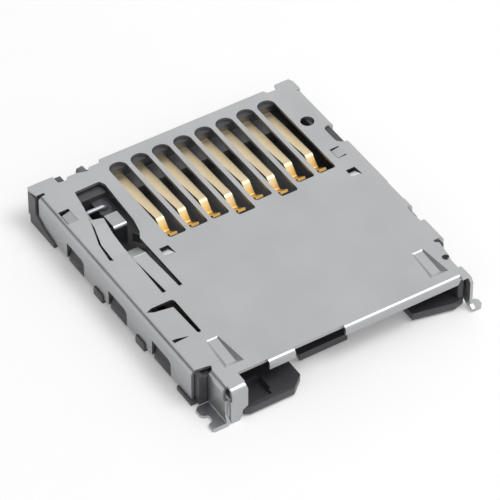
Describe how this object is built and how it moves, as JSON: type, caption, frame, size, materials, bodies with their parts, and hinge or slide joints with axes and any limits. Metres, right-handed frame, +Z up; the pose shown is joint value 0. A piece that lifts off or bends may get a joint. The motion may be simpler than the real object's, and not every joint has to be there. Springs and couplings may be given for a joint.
{
  "type": "sd card socket",
  "caption": "Push-in, push-out micro memory card socket: folded steel shell over a black moulded housing, sprung gilt contacts and a sprung slider with a heart-shaped track.",
  "frame": {"origin": "centre of the overall box in plan, on the solder plane under the socket", "axes": "+X across the socket to the right seen from the card slot, +Y from the card slot to the solder tails, +Z up from the board"},
  "size_m": [0.0138, 0.0162, 0.0019],
  "materials": {
    "black_plastic": "moulded, fine matt",
    "slider_plastic": "moulded, smooth",
    "stainless_sheet": "satin rolled sheet",
    "gilt_strip": "gold flash over nickel",
    "steel_wire": "bright drawn wire",
    "spring_wire": "drawn spring wire",
    "spring_sheet": "rolled spring sheet",
    "switch_strip": "plated strip"
  },
  "bodies": {
    "base": {"housing": "black_plastic", "shell": "stainless_sheet", "contact_1": "gilt_strip", "contact_2": "gilt_strip", "contact_3": "gilt_strip", "contact_4": "gilt_strip", "contact_5": "gilt_strip", "contact_6": "gilt_strip", "contact_7": "gilt_strip", "contact_8": "gilt_strip", "eject_spring": "spring_wire", "detect_switch_terminal": "switch_strip", "detect_switch_spring": "switch_strip"},
    "carriage": {"slider": "slider_plastic", "card_lock_spring": "spring_sheet"},
    "pin": {"cam_pin": "steel_wire"}
  },
  "joints": [
    {"name": "slider_slide", "type": "slide", "parent": "base", "child": "carriage", "axis": [0, 1, 0], "range_m": [0, 0.0045], "stiffness_N_per_m": 40, "deforming": ["eject_spring"]},
    {"name": "cam_pin_swing", "type": "hinge", "parent": "base", "child": "pin", "pos_m": [-0.00435, 0.005, 0.00147], "axis": [0, 0, 1], "range_deg": [-4.6, 0]}
  ],
  "couplings": [
    {"joint": "cam_pin_swing", "follows": "slider_slide", "rad_per_m": -17.55}
  ]
}
